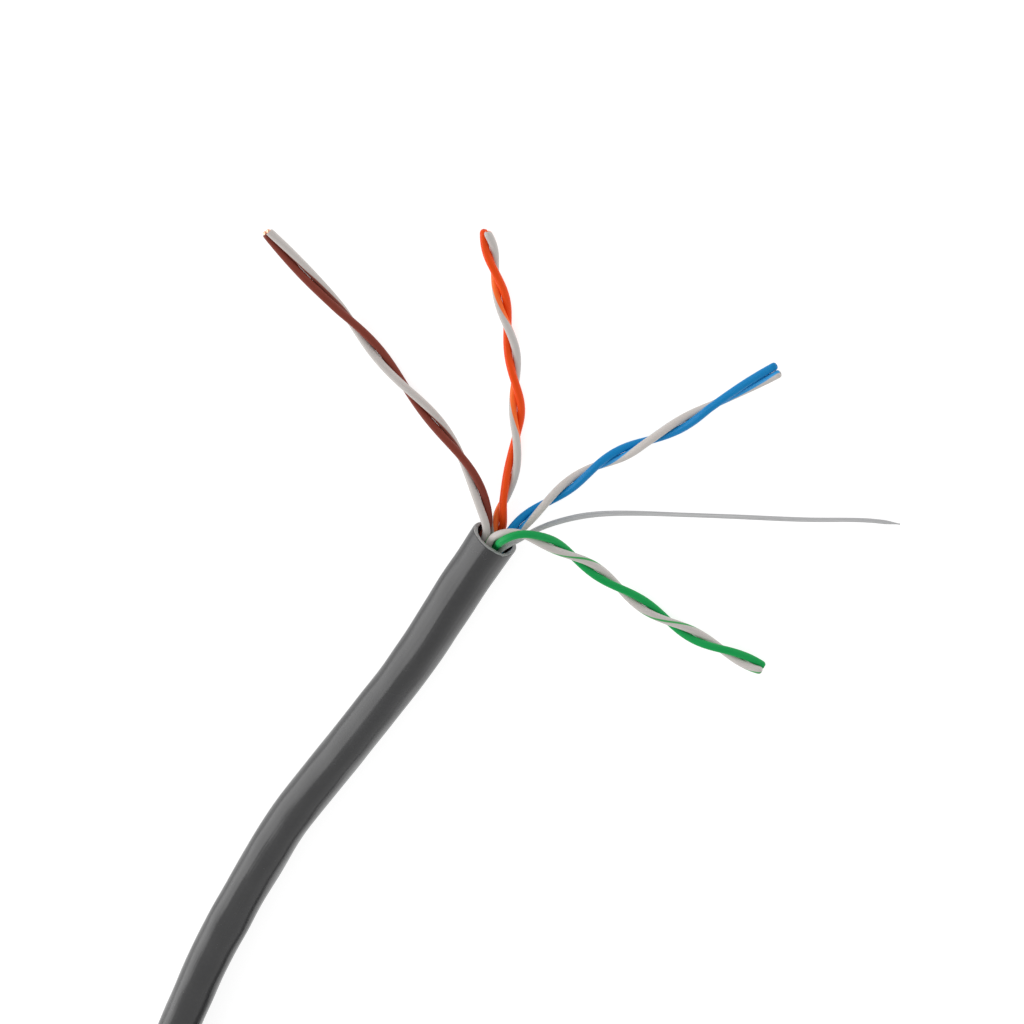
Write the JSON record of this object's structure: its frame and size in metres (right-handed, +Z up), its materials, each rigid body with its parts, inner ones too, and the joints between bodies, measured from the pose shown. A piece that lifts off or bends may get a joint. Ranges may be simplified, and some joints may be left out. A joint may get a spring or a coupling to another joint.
{
  "type": "network cable",
  "caption": "Stripped end of a grey network cable: twisted pairs and a rip cord fan out of the jacket, the rest lies in a tied coil.",
  "frame": {"origin": "middle of the whole cable's bounding box, on the surface that it lies on", "axes": "+Z up from that surface; +Y the way the cable points, from the coil towards the stripped end; +X to the right of that"},
  "size_m": [0.1032, 0.1896, 0.0128],
  "materials": {
    "jacket": "satin",
    "insulation_green": "satin",
    "insulation_brown": "satin",
    "insulation_orange": "satin",
    "insulation_blue": "satin",
    "insulation_white_green": "satin",
    "insulation_white_brown": "satin",
    "insulation_white_orange": "satin",
    "insulation_white_blue": "satin",
    "copper": "gloss",
    "rip_cord": "satin",
    "tie": "satin"
  },
  "bodies": {
    "root": {"jacket": "jacket", "cable_coil": "jacket", "cable_tie": "tie", "rip_cord": "rip_cord", "insulation_green": "insulation_green", "insulation_white_green": "insulation_white_green", "conductor_green": "copper", "conductor_white_green": "copper", "insulation_brown": "insulation_brown", "insulation_white_brown": "insulation_white_brown", "conductor_brown": "copper", "conductor_white_brown": "copper", "insulation_orange": "insulation_orange", "insulation_white_orange": "insulation_white_orange", "conductor_orange": "copper", "conductor_white_orange": "copper", "insulation_blue": "insulation_blue", "insulation_white_blue": "insulation_white_blue", "conductor_blue": "copper", "conductor_white_blue": "copper"}
  },
  "joints": []
}
